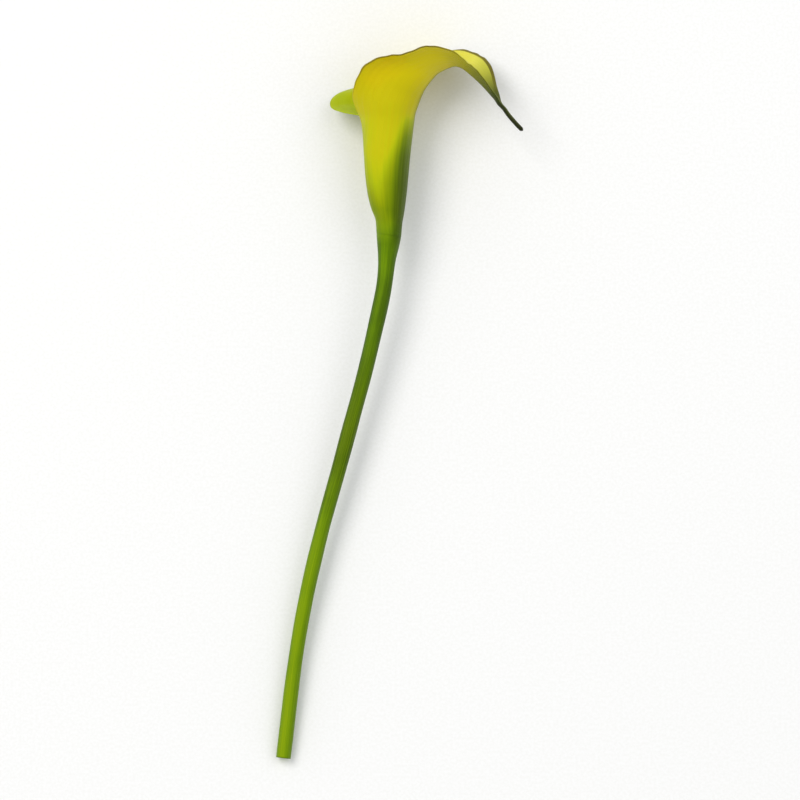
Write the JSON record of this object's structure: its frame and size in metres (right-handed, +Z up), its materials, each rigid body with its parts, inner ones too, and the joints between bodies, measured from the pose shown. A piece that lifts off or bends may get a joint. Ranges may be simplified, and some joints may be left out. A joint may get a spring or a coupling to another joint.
{
  "type": "arum lily flower",
  "caption": "Yellow arum lily flower as picked: a long bare stem and one rolled blade with a flared mouth, lapped front and drooping dark tail, round a floret-covered spadix.",
  "frame": {"origin": "on the ground, under the middle of the flower's bounding box as it lies", "axes": "+Y from the cut foot of the stem towards the bloom, +X to the right seen from above, on the side that the tail droops to, +Z up"},
  "size_m": [0.099, 0.2844, 0.0464],
  "materials": {
    "stem": "smooth green stalk skin, satin",
    "spathe": "waxy golden-yellow petal skin, satin, thin enough to glow against the light",
    "ovaries": "green-yellow, moist, smooth",
    "anthers": "golden, dry, dusted with pollen"
  },
  "bodies": {
    "root": {"stem": "stem", "spathe": "spathe", "pistillate_zone": "ovaries", "staminate_zone": "anthers"}
  },
  "joints": []
}
